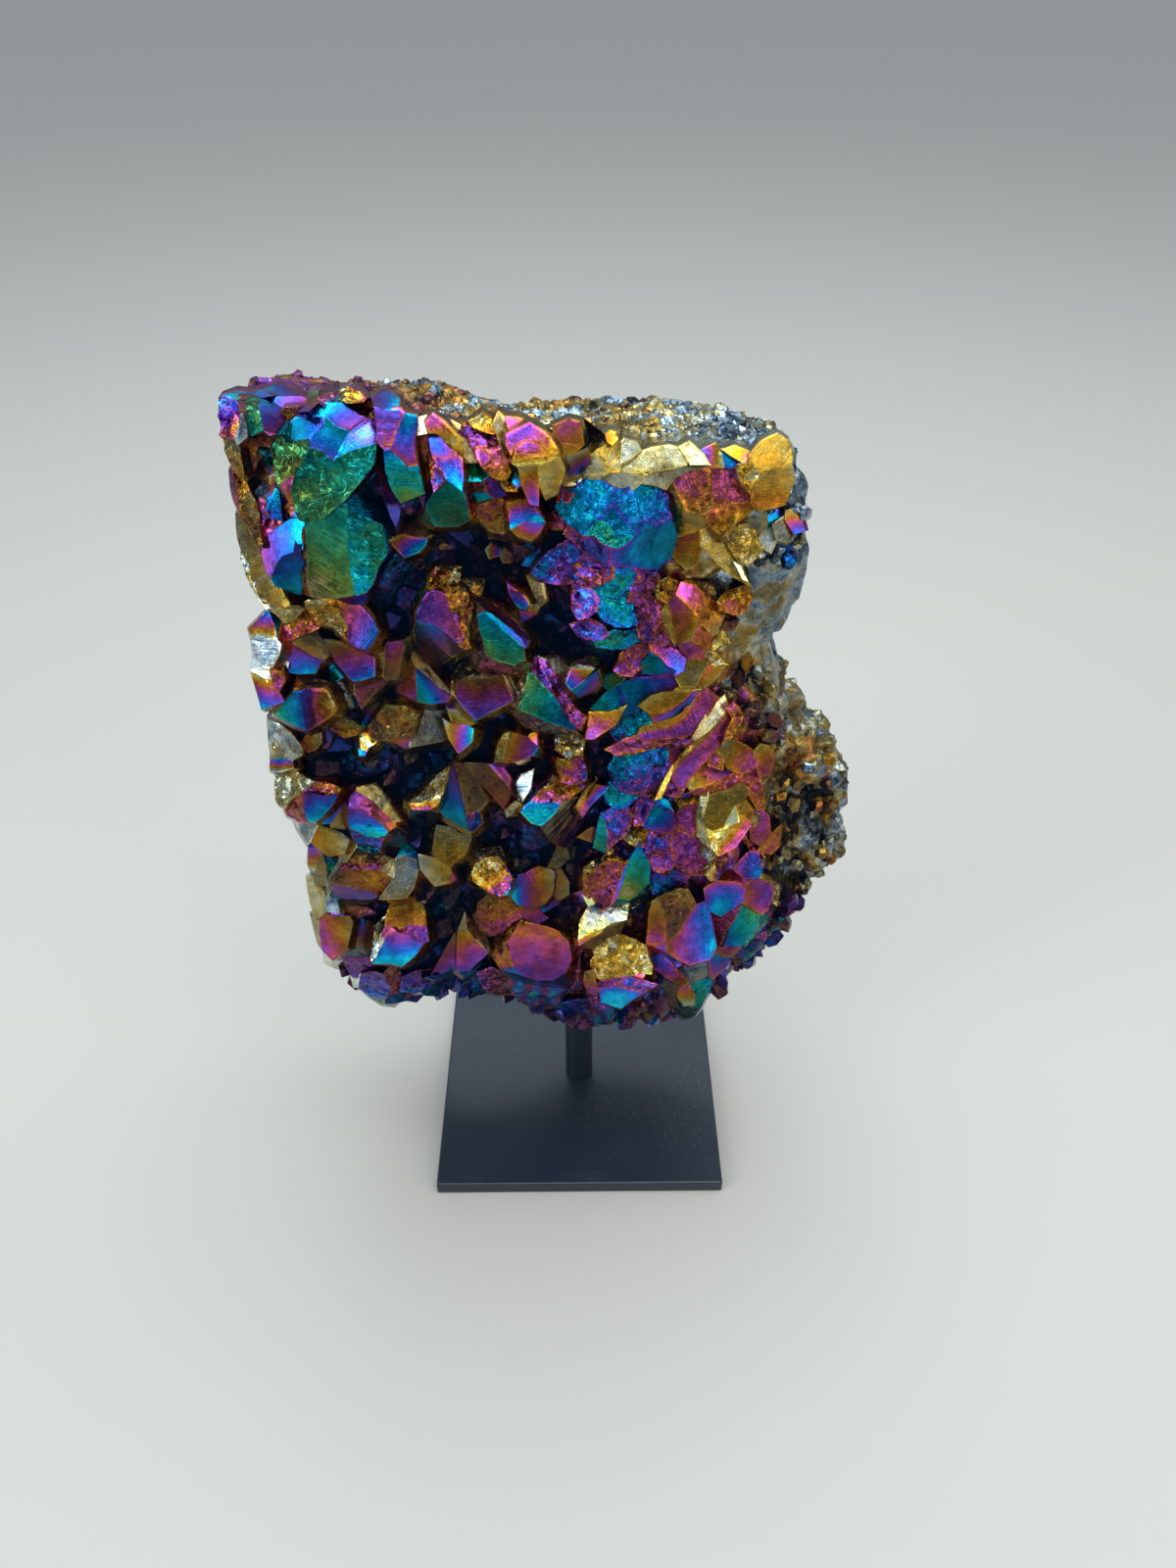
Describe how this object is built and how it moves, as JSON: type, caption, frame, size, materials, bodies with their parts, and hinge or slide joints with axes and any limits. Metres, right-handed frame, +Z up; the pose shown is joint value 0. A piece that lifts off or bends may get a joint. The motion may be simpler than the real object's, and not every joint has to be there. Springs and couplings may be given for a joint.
{
  "type": "titanium aura quartz cluster on a pin stand",
  "caption": "Metal-coated rainbow quartz druze, a thick upright slab of points, held up by a short black post on a square black plate.",
  "frame": {"origin": "centre of the base plate's underside, on the table", "axes": "+Z up, -Y towards the crystal side, +X to the right of someone looking at the crystals"},
  "size_m": [0.1041, 0.06, 0.1656],
  "materials": {
    "coated_quartz": "gloss",
    "black_steel": "satin",
    "screw_steel": "satin"
  },
  "bodies": {
    "root": {"crystal_cluster": "coated_quartz", "post": "black_steel", "base_plate": "black_steel", "base_screw": "screw_steel"}
  },
  "joints": []
}
